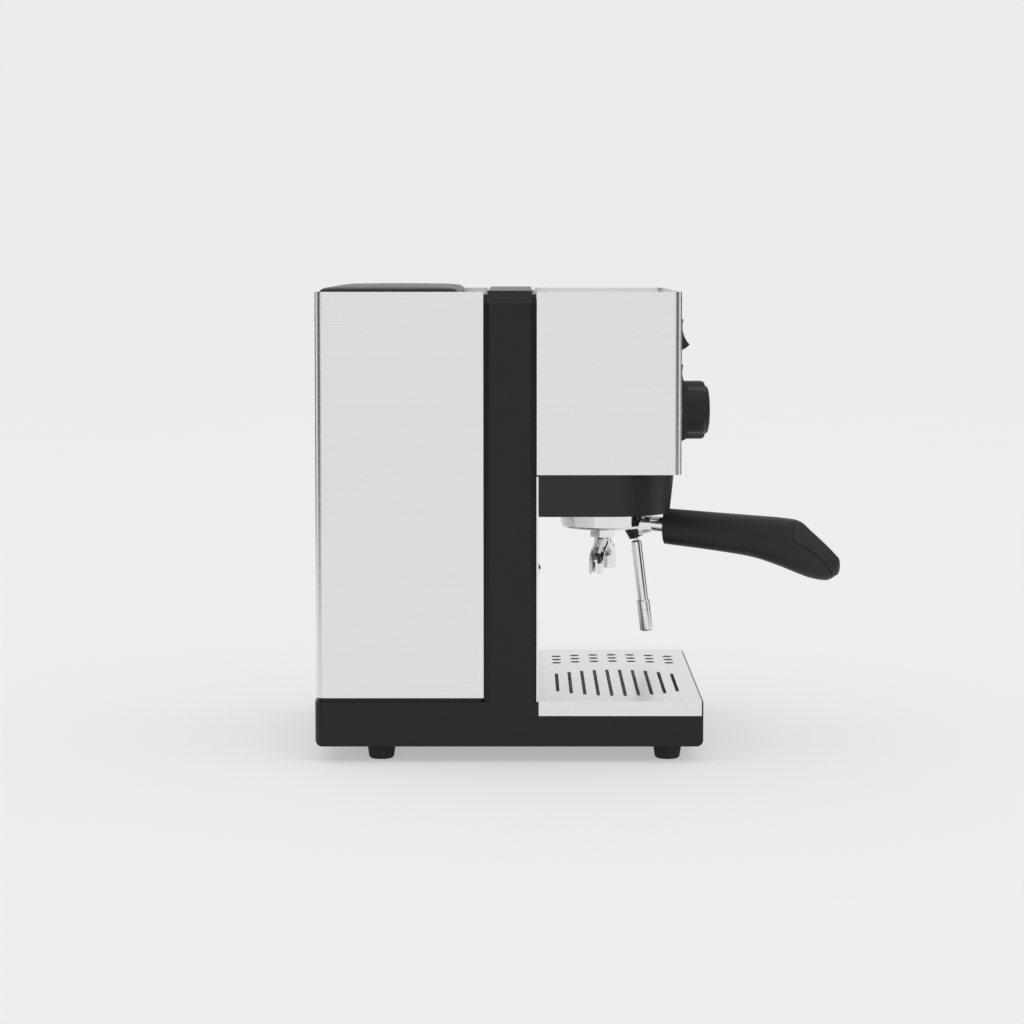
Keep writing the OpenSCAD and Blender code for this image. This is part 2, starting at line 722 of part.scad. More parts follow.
module thermostats() {
  color([0.85, 0.82, 0.75]) translate([0, group_y, boiler_top])
    for (at = [[0, 8], [13, -7.5], [-13, -7.5]]) translate([at[0], at[1], 0]) {
      cylinder(h = 3, r = 7.8);
      cylinder(h = 7, r = 6.2);
      for (x = [-4, 4]) span([x - 0.4, -2.5, 6], [x + 0.4, 2.5, 13]);
    }
}

module solenoid_valve() {
  color([0.45, 0.46, 0.48]) difference() {
    union() {
      span([-18, group_y + 38, 207.2], [14, 38, 220.8]);
      translate([0, 37, 214]) rotate([-90, 0, 0]) cylinder(h = 34, r = 6);
      translate([-14, 40, 201]) cube([28, 24, 28]);
      translate([0, 64, 214]) rotate([-90, 0, 0]) cylinder(h = 6, r = 8, $fn = 6);
    }
    translate([0, group_y, 200]) cylinder(h = 30, r = 40);
    translate([-12, group_y + 30, 214]) rotate([-90, 0, 0]) cylinder(h = 20, r = 1.8);
  }
}

module drain_tube() {
  color(copper) swept([[-18, 24, 213], [-38, 24, 213], [-38, 24, apron_z - 2]], 3, 8, [0, 0, 1]);
}

// ---- Steam ----

module steam_pipe() {
  y = group_y - 20;
  color(copper) swept([
    [0, y, boiler_top + 4], [0, y, boiler_top + 9], [40, y, boiler_top + 9], [steam_x, y, 300],
    [steam_x, y, knob_z + 15]
  ], 2.8, 2.4, [0, 1, 0]);
}

module steam_valve() {
  back = 46;
  color(brass) difference() {
    union() {
      forward(steam_x, box_front + back, knob_z) cylinder(h = back - 8, r = 12);
      forward(steam_x, box_front + 9, knob_z) cylinder(h = 7.8, r = 14, $fn = 6);
      forward(steam_x, box_front + 4, knob_z) cylinder(h = 5.8, r = 8.8);
      translate([steam_x, group_y - 20, knob_z]) cylinder(h = 15, r = 6, $fn = 6);
      translate([steam_x, feed_y, knob_z - 17]) cylinder(h = 16, r = 8, $fn = 6);
    }
    forward(steam_x, box_front + 30, knob_z) cylinder(h = 40, r = spindle_r + running_gap);
    translate([steam_x, feed_y, knob_z - 18]) cylinder(h = 12, r = 5);
  }
}

module steam_spindle() {
  reach = knob_y - knob_len + 4;
  color(steel) forward(steam_x, box_front + 28, knob_z) {
    cylinder(h = box_front + 28 - reach, r = spindle_r);
    rotate([180, 0, 0]) cylinder(h = 1.5, r = 2);
  }
}

// The pipe from the valve to the ball joint, with the collar that the nut screws onto
module wand_feed_pipe() {
  up = [0, sin(nut_lean), cos(nut_lean)];
  color(bright) {
    swept([[steam_x, feed_y, knob_z - 12], ball_at + 17.6 * up, ball_at + 9 * up], 4.6, 4, [1, 0, 0], 16);
    rod(ball_at + 5.4 * up, ball_at + 12.4 * up, 5.5);
  }
}

module ball_seat() {
  color([0.95, 0.95, 0.93]) translate(ball_at) rotate([-nut_lean, 0, 0]) difference() {
    translate([0, 0, 1]) cylinder(h = 4.3, r = 5.5);
    sphere(ball_r + running_gap);
    cylinder(h = 20, r = 2);
  }
}

module wand_nut() {
  // The lip is narrower than the ball, so it holds it, and it flares below to let the neck lean
  color(black_plastic) translate(ball_at) rotate([-nut_lean, 0, 0]) difference() {
    rotate_extrude() polygon([
      [3.6, -2.2], [4.6, -nut_below_ball], [5.6, -nut_below_ball], [5.9, -nut_below_ball + 0.3],
      [6.6, 1], [7, 2.4], [7, 12], [5.55, 12], [5.55, 0.6], [4.4, 0.6]
    ]);
    sphere(ball_r + running_gap);
  }
}

// Everything below the ball hangs along this axis
module on_wand() {
  translate(ball_at) rotate([180 - wand_lean, 0, 0]) children();
}

// The ball turns the wand sideways; the tube's neck tips in a slot through it
module wand_ball() {
  color(bright) translate(ball_at) difference() {
    sphere(ball_r);
    rotate([0, 90, 0]) cylinder(h = 20, r = pin_r + running_gap, center = true);
    // Slot for the neck, open below and to front and back, with a bridge left across the top
    span([-neck_r - running_gap, -10, -10], [neck_r + running_gap, 10, 2.6]);
    cylinder(h = 10, r = 0.8);
  }
}

module wand_tube() {
  color(bright) on_wand() difference() {
    union() {
      rotate([0, 90, 0]) cylinder(h = 7, r = pin_r, center = true);
      rotate([0, 90, 0]) cylinder(h = 2 * neck_r, r = 2.4, center = true);
      cylinder(h = 8, r = neck_r);
      rotate_extrude() polygon([
        [0, 6.6], [3.2, 6.6], [wand_r, 7.6], [wand_r, wand_len - tip_len + 4], [0, wand_len - tip_len + 4]
      ]);
    }
    translate([0, 0, 2]) cylinder(h = 100, r = 1);
  }
}

module wand_tip() {
  start = wand_len - tip_len;
  color(bright) on_wand() difference() {
    rotate_extrude() polygon(concat(
      [[0, start], [4.9, start], [5.3, start + 0.5], [5.3, start + 6.9], [5, start + 7.2]],
      [[5.3, start + 7.5]],
      [for (a = [0 : 15 : 90]) [2.8 + 2.5 * cos(a), wand_len - 2.5 + 2.5 * sin(a)]],
      [[0, wand_len]]
    ));
    translate([0, 0, start - 1]) cylinder(h = 5, r = wand_r);
    translate([0, 0, start]) cylinder(h = 21, r = 1.8);
    for (a = [0 : 90 : 270]) rotate(a) translate([0, 0, wand_len - 6]) rotate([0, 28, 0])
      cylinder(h = 12, r = 0.6);
  }
}

module steam_knob() {
  hub_r = 7;
  color(black_plastic) forward(steam_x, knob_y, knob_z) difference() {
    union() {
      rotate_extrude() polygon([
        [0, 0], [knob_r - 0.6, 0], [knob_r, 1], [knob_r, knob_len - 3.4], [knob_r - 1, knob_len - 0.8],
        [knob_r - 2.2, knob_len], [0, knob_len]
      ]);
      intersection() {
        translate([0, 0, knob_len + knob_face_len - 110]) sphere(110, $fn = 96);
        translate([0, 0, knob_len - 1]) cylinder(h = 10, r = knob_face_r);
      }
    }
    // Wide shallow flutes for the fingers
    for (a = [0 : 60 : 300]) rotate(a + 30) translate([knob_r + 20.4, 0, 4]) cylinder(h = 40, r = 22);
    difference() {
      translate([0, 0, -1]) cylinder(h = knob_len - 3, r = knob_r - 4.5);
      cylinder(h = knob_len, r = hub_r);
    }
    translate([0, 0, -1]) cylinder(h = knob_len - 3, r = spindle_r);
  }
}

// ---- Switches ----

// X and Z of each rocker: power, brew, water and steam
function switch_places() = [
  [-power_x, rocker_z + 2 * rocker_pitch], [-rocker_x, rocker_z + 2 * rocker_pitch],
  [-rocker_x, rocker_z + rocker_pitch], [-rocker_x, rocker_z]
];

// A rocker that turns on two pins: round about them, hollowed along its front face
module rocker(i) {
  at = switch_places()[i];
  hollow_r = 18.1;
  tip_out = 4.9;
  color(black_plastic) translate([at[0], box_front + rocker_depth, at[1]])
  rotate([-rocker_travel / 2, 0, 0]) {
    along_x(-rocker_half, rocker_half) difference() {
      circle(rocker_r, $fn = 96);
      translate([-tip_out - hollow_r, 0]) circle(hollow_r, $fn = 96);
      translate([3.2, -20]) square([20, 40]);
    }
    for (side = [-1, 1]) translate([side * (rocker_half + 0.4), 0, 0]) rotate([0, 90, 0])
      cylinder(h = 0.9, r = 1.5, center = true);
    // Foot that works the contacts
    span([-3, 2, -2], [3, 9, 2]);
  }
}

module power_rocker() { rocker(0); }
module brew_rocker() { rocker(1); }
module water_rocker() { rocker(2); }
module steam_rocker() { rocker(3); }

module switch_bodies() {
  wall_x = rocker_half + 1.2;
  color(black_plastic) for (at = switch_places()) translate([at[0], box_front, at[1]]) difference() {
    union() {
      span([-15.5, -0.6, -13.9], [15.5, -0.01, 13.9]);
      span([-wall_x, -0.3, -13], [wall_x, 22, 13]);
      for (x = [-8, 0, 8]) span([x - 0.4, 21, -3], [x + 0.4, 30, 3]);
    }
    translate([0, rocker_depth, 0]) rotate([0, 90, 0])
      cylinder(h = 2 * (rocker_half + 0.1), r = rocker_r + 0.2, center = true);
    span([-rocker_half - 0.1, -5, -rocker_r - 0.2], [rocker_half + 0.1, 3, rocker_r + 0.2]);
    translate([0, rocker_depth, 0]) rotate([0, 90, 0])
      cylinder(h = 2 * (rocker_half + 0.9), r = 1.5 + running_gap, center = true);
  }
}

// ---- Filter holder ----

// The holder is drawn with its handle straight ahead, then turned about the group's axis
module on_group() {
  translate([0, group_y, 0]) rotate(-handle_turn) children();
}

// Neck axis: it leaves the bowl at a slight droop
module on_neck() {
  translate([0, -handle_start, 160.2]) rotate([95, 0, 0]) children();
}

module portafilter_body() {
  color(bright) on_group() difference() {
    union() {
      rotate_extrude() polygon([
        [0, bowl_floor], [28.6, bowl_floor], [30.4, bowl_floor + 0.6], [31.4, bowl_floor + 2.2],
        [bowl_r - 0.7, 172], [bowl_r, 177], [bowl_r, rim_z], [0, rim_z]
      ]);
      for (half = [0, 180]) rotate(half - 20) translate([0, 0, lug_z[0]])
        rotate_extrude(angle = 40) translate([bowl_r - 1.5, 0])
          square([lug_r - bowl_r + 1.5, lug_z[1] - lug_z[0]]);
      on_neck() translate([0, 0, -22]) cylinder(h = 22, r = 5.6);
      on_neck() translate([0, 0, -1]) cylinder(h = 23, r = 4);
      translate([0, -30, 160.8]) rotate([95, 0, 0]) cylinder(h = 9, r1 = 9, r2 = 5.6);
    }
    translate([0, 0, 163]) cylinder(h = 40, r = 31);
    translate([0, 0, bowl_floor - 1]) cylinder(h = 10, r = 5);
    translate([0, 0, 186]) rotate_extrude() translate([31, 0]) circle(0.9);
  }
}

module filter_basket() {
  color(bright) on_group() difference() {
    rotate_extrude() polygon([
      [0, 166], [28.4, 166], [29.4, 167], [30.1, 184], [29.9, 186], [30.3, 188], [30.6, rim_z],
      [34.3, rim_z], [34.3, rim_z + 1], [29.6, rim_z + 1], [29.2, 186], [28.6, 168], [27.8, 166.8],
      [0, 166.8]
    ]);
    for (ringn = [1 : 5]) for (a = [0 : 360 / (6 * ringn) : 359]) rotate(a) translate([ringn * 4.4, 0, 165])
      cylinder(h = 4, r = 0.8);
  }
}

module basket_spring() {
  color(steel) on_group() translate([0, 0, 186]) rotate(100) rotate_extrude(angle = 340)
    translate([30.95, 0]) circle(0.7);
}

// One arm of the spout, out to the side and down
module spout_arm(side, r, end_z) {
  swept([[0, 0, 147], [side * 9, 0, 144], [side * 20, 0, 137], [side * 20, 0, end_z]], r, 5, [0, 1, 0], 16);
}

module portafilter_spout() {
  end_z = 124.3;
  color(bright) on_group() difference() {
    union() {
      translate([0, 0, bowl_floor - 1.6]) cylinder(h = 1.5, r = 9.4);
      translate([0, 0, 150]) cylinder(h = bowl_floor - 151.5, r = 9.6, $fn = 6);
      translate([0, 0, 143]) cylinder(h = 7.2, r = 6.6);
      for (side = [-1, 1]) spout_arm(side, 5.4, end_z);
      ring(4.9, 3, bowl_floor - 4, bowl_floor + 5);
    }
    translate([0, 0, 146]) cylinder(h = 20, r = 3);
    for (side = [-1, 1]) {
      spout_arm(side, 3.9, end_z - 2);
      // The arm is open along its outer face
      span([side * 20 - 2.2 + side * 3.4, -2.2, end_z - 1], [side * 20 + 2.2 + side * 3.4, 2.2, end_z + 9]);
    }
  }
}

module handle_section(i) {
  s = handle_rings[i];
  translate([0, -s[0], s[1]]) rotate([90, 0, 0]) scale([s[3] / s[2], 1, 1])
    cylinder(h = 0.2, r = s[2], $fn = 32);
}

module handle_shape() {
  for (i = [0 : len(handle_rings) - 2]) hull() {
    handle_section(i);
    handle_section(i + 1);
  }
  hull() {
    handle_section(len(handle_rings) - 1);
    translate([0, -handle_tip + 9.2, 133.6]) scale([1.1, 1, 1]) sphere(9.2, $fn = 32);
  }
}

// The thumb rest's outline in Y and Z, grown by g
module insert_outline(g) {
  polygon([
    [-148.6 + g, 180], [-148.3 + g, 152.6 - g], [-156.4, 148.8 - g], [-163, 144.9 - g], [-168.8, 140.2 - g],
    [-172.6 + g, 135.8 - g], [-175.9 + g, 130.2 - g], [-177.6 + g, 126 - g], [-179, 115 - g], [-195, 115 - g],
    [-195, 180]
  ]);
}

module portafilter_handle() {
  color(black_plastic) on_group() difference() {
    handle_shape();
    along_x(-30, 30) insert_outline(0.15);
    on_neck() translate([0, 0, -2]) cylinder(h = 24.2, r = 4);
  }
}

module handle_insert() {
  color([0.17, 0.17, 0.17]) on_group() intersection() {
    handle_shape();
    along_x(-30, 30) insert_outline(0);
  }
}

// ---- Electrical ----

module power_inlet() {
  color(black_plastic) translate([inlet_at[0], panel_back, inlet_at[1]]) {
    difference() {
      union() {
        span([-17, 0, -13], [17, 0.9, 13]);
        span([-13.8, -20, -10.3], [13.8, 0.5, 10.3]);
      }
      span([-12, -17, -8], [12, 2, 8]);
    }
    for (at = [[-7, -1], [0, 3], [7, -1]]) span([at[0] - 1, -18, at[1] - 2], [at[0] + 1, -3, at[1] + 2]);
    for (x = [-7, 0, 7]) span([x - 0.4, -28, -3], [x + 0.4, -19, 3]);
  }
}

module terminal_block() {
  color([0.9, 0.9, 0.86]) translate([-90, 84, 60]) difference() {
    span([-9, -8, -30], [9, 8, 30]);
    for (z = [-24 : 12 : 24]) translate([0, 0, z]) rotate([90, 0, 0]) cylinder(h = 12, r = 3);
    for (z = [-24 : 12 : 24]) translate([0, 0, z]) rotate([0, 90, 0])
      cylinder(h = 30, r = 1.8, center = true);
  }
}

base_pan();
feet();
foot_screws();
frame_hoop();
bridge_cap();
rear_housing();
front_housing();
case_screws();
cup_tray();
tank_deck();
tank_shelf();
water_tank();
tank_valve();
tank_coupling();
tank_lid();
water_pump();
pump_bracket();
pump_mounts();
relief_valve();
suction_hose();
pressure_hose();
boiler();
heating_element();
boiler_gasket();
group_bolts();
group_head();
group_gasket();
dispersion_plate();
shower_screen();
shower_screw();
thermostats();
solenoid_valve();
drain_tube();
steam_pipe();
steam_valve();
steam_spindle();
wand_feed_pipe();
ball_seat();
wand_nut();
wand_ball();
wand_tube();
wand_tip();
steam_knob();
power_rocker();
brew_rocker();
water_rocker();
steam_rocker();
switch_bodies();
backsplash();
apron();
drip_tray();
drip_grate();
portafilter_body();
filter_basket();
basket_spring();
portafilter_spout();
portafilter_handle();
handle_insert();
power_inlet();
terminal_block();
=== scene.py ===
"""Espresso machine in a pale studio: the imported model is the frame, and the looks are added to it here."""
import math

import bmesh
import bpy
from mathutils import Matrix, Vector


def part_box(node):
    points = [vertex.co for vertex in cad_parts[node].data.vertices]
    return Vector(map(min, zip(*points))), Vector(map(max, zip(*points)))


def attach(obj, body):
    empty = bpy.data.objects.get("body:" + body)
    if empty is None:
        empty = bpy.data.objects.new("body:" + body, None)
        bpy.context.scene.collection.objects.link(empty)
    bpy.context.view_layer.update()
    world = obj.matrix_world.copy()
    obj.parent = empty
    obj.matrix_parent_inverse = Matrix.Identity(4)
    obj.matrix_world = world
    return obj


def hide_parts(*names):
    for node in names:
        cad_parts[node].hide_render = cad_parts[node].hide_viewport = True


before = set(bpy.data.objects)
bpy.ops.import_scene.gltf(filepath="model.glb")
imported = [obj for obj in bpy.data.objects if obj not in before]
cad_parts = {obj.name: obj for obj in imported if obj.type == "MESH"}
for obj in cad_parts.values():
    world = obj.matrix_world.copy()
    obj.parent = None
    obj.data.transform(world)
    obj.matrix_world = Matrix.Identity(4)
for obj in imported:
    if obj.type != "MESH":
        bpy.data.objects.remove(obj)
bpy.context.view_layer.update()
MM = 0.001

# ---- Camera ----

# Place in metres, lens and sensor in millimetres, shifts as shares of the sensor's width
CAMERA_PLACE = Vector((-1.8945, 0.0443, 0.3637))
CAMERA_PITCH = math.radians(3.318)
CAMERA_LENS = 88.1
CAMERA_SENSOR = 36
CAMERA_SHIFT = (-0.009, -0.1095)


def make_camera():
    camera = bpy.data.cameras.new("camera")
    camera.lens = CAMERA_LENS
    camera.sensor_width = CAMERA_SENSOR
    camera.shift_x, camera.shift_y = CAMERA_SHIFT
    camera.clip_end = 100
    holder = bpy.data.objects.new("camera", camera)
    holder.location = CAMERA_PLACE
    holder.rotation_euler = (math.pi / 2 - CAMERA_PITCH, 0, -math.pi / 2)
    bpy.context.collection.objects.link(holder)
    bpy.context.scene.camera = holder


# ---- Materials ----

# The stretch of a noise's values that its colours and roughness are spread over
NOISE_LOW, NOISE_HIGH = 0.3, 0.7


class Shader:
    """A material's nodes, with short calls for the few that are used."""

    def __init__(self, name, **constants):
        self.material = bpy.data.materials.new(name)
        self.material.use_nodes = True
        self.tree = self.material.node_tree
        self.surface = self.tree.nodes["Principled BSDF"]
        for socket, value in constants.items():
            self.surface.inputs[socket.replace("_", " ")].default_value = value
        self.place = self.tree.nodes.new("ShaderNodeTexCoord").outputs["Object"]

    def node(self, kind, **settings):
        made = self.tree.nodes.new(kind)
        for key, value in settings.items():
            setattr(made, key, value)
        return made

    def link(self, output, target):
        self.tree.links.new(output, target)

    def noise(self, scale, stretch=(1, 1, 1), detail=3):
        mapping = self.node("ShaderNodeMapping")
        mapping.inputs["Scale"].default_value = stretch
        self.link(self.place, mapping.inputs["Vector"])
        noise = self.node("ShaderNodeTexNoise")
        noise.inputs["Scale"].default_value = scale
        noise.inputs["Detail"].default_value = detail
        self.link(mapping.outputs["Vector"], noise.inputs["Vector"])
        return noise.outputs["Fac"]

    def spread(self, factor, low, high):
        """The noise's usual stretch of values becomes low to high."""
        ranged = self.node("ShaderNodeMapRange")
        ranged.inputs["From Min"].default_value = NOISE_LOW
        ranged.inputs["From Max"].default_value = NOISE_HIGH
        ranged.inputs["To Min"].default_value = low
        ranged.inputs["To Max"].default_value = high
        self.link(factor, ranged.inputs["Value"])
        return ranged.outputs["Result"]

    def tint(self, factor, dark, light):
        ramp = self.node("ShaderNodeValToRGB")
        ramp.color_ramp.elements[0].position = NOISE_LOW
        ramp.color_ramp.elements[1].position = NOISE_HIGH
        ramp.color_ramp.elements[0].color = (*dark, 1)
        ramp.color_ramp.elements[1].color = (*light, 1)
        self.link(factor, ramp.inputs["Fac"])
        self.link(ramp.outputs["Color"], self.surface.inputs["Base Color"])

    def roughness(self, factor, low, high):
        self.link(self.spread(factor, low, high), self.surface.inputs["Roughness"])

    def bump(self, factor, height, strength):
        bump = self.node("ShaderNodeBump")
        bump.inputs["Distance"].default_value = height
        bump.inputs["Strength"].default_value = strength
        self.link(factor, bump.inputs["Height"])
        self.link(bump.outputs["Normal"], self.surface.inputs["Normal"])


def shades(grey, change):
    """Two colours, a little darker and a little lighter than grey."""
    return [tuple(c * (1 - change) for c in grey), tuple(c * (1 + change) for c in grey)]


def brushed_steel(name, stretch):
    """Steel with fine lines: stretch is small along them and large across."""
    s = Shader(name, Metallic=1.0)
    lines = s.noise(1.0, stretch, detail=6)
    s.tint(lines, *shades((0.86, 0.86, 0.855), 0.014))
    s.roughness(lines, 0.27, 0.33)
    s.bump(lines, 0.000008, 0.35)
    return s.material


def polished(name, colour):
    s = Shader(name, Metallic=1.0)
    s.tint(s.noise(60), *shades(colour, 0.03))
    s.roughness(s.noise(140), 0.07, 0.13)
    return s.material


def cast(name, colour, rough):
    """Machined or cast metal."""
    s = Shader(name, Metallic=1.0)
    s.tint(s.noise(90), *shades(colour, 0.10))
    s.roughness(s.noise(220), rough - 0.06, rough + 0.08)
    s.bump(s.noise(900), 0.00004, 0.4)
    return s.material


def moulded(name, colour, rough, grain=1400, gloss=0.35):
    """Plastic, rubber or paint with a fine grain."""
    s = Shader(name, Specular_IOR_Level=gloss)
    s.tint(s.noise(70), *shades(colour, 0.04))
    s.roughness(s.noise(260), rough - 0.015, rough + 0.02)
    s.bump(s.noise(grain), 0.00003, 0.2)
    return s.material


def clear_plastic(name):
    s = Shader(name, Transmission_Weight=0.92, IOR=1.46)
    s.tint(s.noise(30), (0.86, 0.90, 0.92), (0.92, 0.95, 0.96))
    s.roughness(s.noise(120), 0.16, 0.26)
    return s.material


# A brushed steel's stretch has its large value across the lines
MATERIALS = {
    "steel_upright": brushed_steel("steel_upright", (4, 4, 2600)),
    "steel_level": brushed_steel("steel_level", (4, 2600, 4)),
    "steel_plate": cast("steel_plate", (0.62, 0.62, 0.61), 0.33),
    "chrome": polished("chrome", (0.86, 0.86, 0.87)),
    "paint": moulded("black_paint", (0.010, 0.010, 0.010), 0.36, 2200, gloss=0.3),
    "plastic": moulded("black_plastic", (0.014, 0.014, 0.014), 0.36),
    "handle": moulded("handle_plastic", (0.016, 0.016, 0.016), 0.46, 1800),
    "insert": moulded("insert_plastic", (0.022, 0.022, 0.022), 0.56, 1800),
    "rubber": moulded("rubber", (0.020, 0.020, 0.020), 0.80),
    "brass": cast("brass", (0.72, 0.55, 0.26), 0.30),
    "copper": cast("copper", (0.75, 0.42, 0.28), 0.26),
    "gunmetal": cast("gunmetal", (0.30, 0.31, 0.33), 0.42),
    "white": moulded("white_plastic", (0.72, 0.71, 0.66), 0.50),
    "hose": moulded("hose", (0.70, 0.70, 0.67), 0.35),
    "tank": clear_plastic("tank"),
}

# Which CAD nodes wear which material
WEARS = {
    "steel_upright": ["rear_housing", "front_housing", "backsplash"],
    "steel_level": ["cup_tray", "tank_deck", "drip_grate", "drip_tray"],
    "steel_plate": [
        "tank_shelf", "pump_bracket", "foot_screws", "group_bolts", "shower_screw", "basket_spring",
        "steam_spindle",
    ],
    "chrome": [
        "case_screws", "group_head", "shower_screen", "wand_feed_pipe", "wand_ball", "wand_tube",
        "wand_tip", "portafilter_body", "filter_basket", "portafilter_spout",
    ],
    "paint": ["base_pan", "frame_hoop"],
    "plastic": [
        "bridge_cap", "apron", "tank_lid", "tank_valve", "switch_bodies", "power_rocker", "brew_rocker",
        "water_rocker", "steam_rocker", "wand_nut", "power_inlet", "steam_knob",
    ],
    "handle": ["portafilter_handle"],
    "insert": ["handle_insert"],
    "rubber": ["feet", "pump_mounts", "boiler_gasket", "group_gasket", "tank_coupling"],
    "brass": ["relief_valve", "boiler", "dispersion_plate", "steam_valve"],
    "copper": ["heating_element", "drain_tube", "steam_pipe"],
    "gunmetal": ["water_pump", "solenoid_valve"],
    "white": ["terminal_block", "ball_seat", "thermostats"],
    "hose": ["suction_hose", "pressure_hose"],
    "tank": ["water_tank"],
}


def dress_nodes():
    for look, nodes in WEARS.items():
        for node in nodes:
            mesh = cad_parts[node].data
            mesh.materials.clear()
            mesh.materials.append(MATERIALS[look])


# ---- Edges ----

# Widths of the small rounded edges, in millimetres
EDGES = {
    "rear_housing": 0.5, "front_housing": 0.5, "base_pan": 0.5, "frame_hoop": 0.6, "bridge_cap": 0.8,
    "drip_grate": 0.35, "backsplash": 0.3, "apron": 0.8, "switch_bodies": 0.3, "power_rocker": 0.6,
    "brew_rocker": 0.6, "water_rocker": 0.6, "steam_rocker": 0.6,
}


def round_edges():
    for node, width in EDGES.items():
        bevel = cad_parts[node].modifiers.new("edges", "BEVEL")
        bevel.width = width * MM
        bevel.segments = 2
        bevel.limit_method = "ANGLE"
        bevel.angle_limit = math.radians(40)
        bevel.use_clamp_overlap = True
        bevel.harden_normals = True


# ---- Pieces ----

# How far the handle is turned from straight ahead
HANDLE_TURN = math.radians(-16)
GROUP_Y = sum(corner.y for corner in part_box("group_head")) / 2 / MM
HANDLE_STATIONS = (
    # Distance from the group's axis, height of the middle, half height and half width, in millimetres
    (49, 159.4, 13.4, 13.2), (87, 156.5, 14.3, 13.8), (116, 153.8, 15.6, 14.4), (136, 150.3, 18, 15),
    (150, 146.6, 19.5, 15), (160, 141, 17, 14.4), (171.5, 135.3, 12.4, 12.6), (179, 133.6, 6.6, 7.2),
)
# Distances where the end starts to close and where it has closed
HANDLE_CLOSING = 178.6
HANDLE_TIP = 180.8
# Corners round each of the handle's rings
HANDLE_CORNERS = 96


def make_piece(name, verts, faces, look, body, node, slot, smooth=35):
    """A new piece that stands for a CAD node and rides on its body."""
    mesh = bpy.data.meshes.new(name)
    mesh.from_pydata([tuple(v) for v in verts], [], faces)
    mesh.materials.append(MATERIALS[look])
    piece = bpy.data.objects.new(name, mesh)
    bpy.context.collection.objects.link(piece)
    finish_mesh(mesh, smooth)
    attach(piece, body)
    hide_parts(node)


def finish_mesh(mesh, smooth):
    """Outward faces, shaded smooth up to an angle."""
    work = bmesh.new()
    work.from_mesh(mesh)
    bmesh.ops.recalc_face_normals(work, faces=work.faces)
    work.to_mesh(mesh)
    work.free()
    mesh.shade_smooth()
    mesh.set_sharp_from_angle(angle=math.radians(smooth))


def skin(rings):
    """Vertices and faces of closed rings joined in order, with both ends capped."""
    count = len(rings[0])
    verts = [v for ring in rings for v in ring]
    faces = [
        (i * count + j, i * count + (j + 1) % count, (i + 1) * count + (j + 1) % count, (i + 1) * count + j)
        for i in range(len(rings) - 1) for j in range(count)
    ]
    last = (len(rings) - 1) * count
    faces.append(tuple(reversed(range(count))))
    faces.append(tuple(range(last, last + count)))
    return verts, faces


def glide(points, t):
    """A smooth curve through points; t runs from 0 to 1 along them."""
    place = min(t * (len(points) - 1), len(points) - 1 - 1e-6)
    i = int(place)
    u = place - i
    a, b, c, d = (points[max(0, min(len(points) - 1, k))] for k in (i - 1, i, i + 1, i + 2))
    return [
        0.5 * (2 * q + (r - p) * u + (2 * p - 5 * q + 4 * r - s) * u * u + (3 * q - p - 3 * r + s) * u ** 3)
        for p, q, r, s in zip(a, b, c, d)
    ]


def on_group(x, ahead, z):
    """A point of the filter holder, with its handle's turn, in metres."""
    sin, cos = math.sin(HANDLE_TURN), math.cos(HANDLE_TURN)
    return Vector((x * cos + ahead * sin, GROUP_Y + x * sin - ahead * cos, z)) * MM


def level_at(points, reach):
    """The smooth curve's values where its first one comes to reach."""
    low, high = 0.0, 1.0
    for _ in range(30):
        middle = (low + high) / 2
        low, high = (middle, high) if glide(points, middle)[0] < reach else (low, middle)
    return glide(points, low)


def handle_ring(ahead, floor=-math.inf, ceiling=math.inf):
    """The handle's outline at a distance, its flanks a little flatter than an ellipse's.

    It is cut flat where it would pass below floor or above ceiling.
    """
    _, z, tall, wide = level_at(HANDLE_STATIONS, ahead)
    ring = []
    for j in range(HANDLE_CORNERS):
        angle = 2 * math.pi * j / HANDLE_CORNERS
        c, s = math.cos(angle), math.sin(angle)
        height = z + tall * math.copysign(abs(s) ** 0.94, s)
        side = wide * math.copysign(abs(c) ** 0.88, c)
        ring.append(on_group(side, ahead, min(max(height, floor), ceiling)))
    return ring


# The thumb rest's seam on the flank: distance ahead and height
SEAM = (
    (148.3, 152.6), (156.4, 148.8), (163, 144.9), (168.8, 140.2), (172.6, 135.8), (176, 129.5),
    (177.6, 126.5),
)
SEAM_START, SEAM_END = SEAM[0][0], SEAM[-1][0]
SEAM_GAP = 0.3
# Least height of the grip under the seam
LEAST_GRIP = 0.6


def steps(first, last, count):
    """Evenly spaced values from first to last, in count steps."""
    return [first + (last - first) * i / count for i in range(count + 1)]


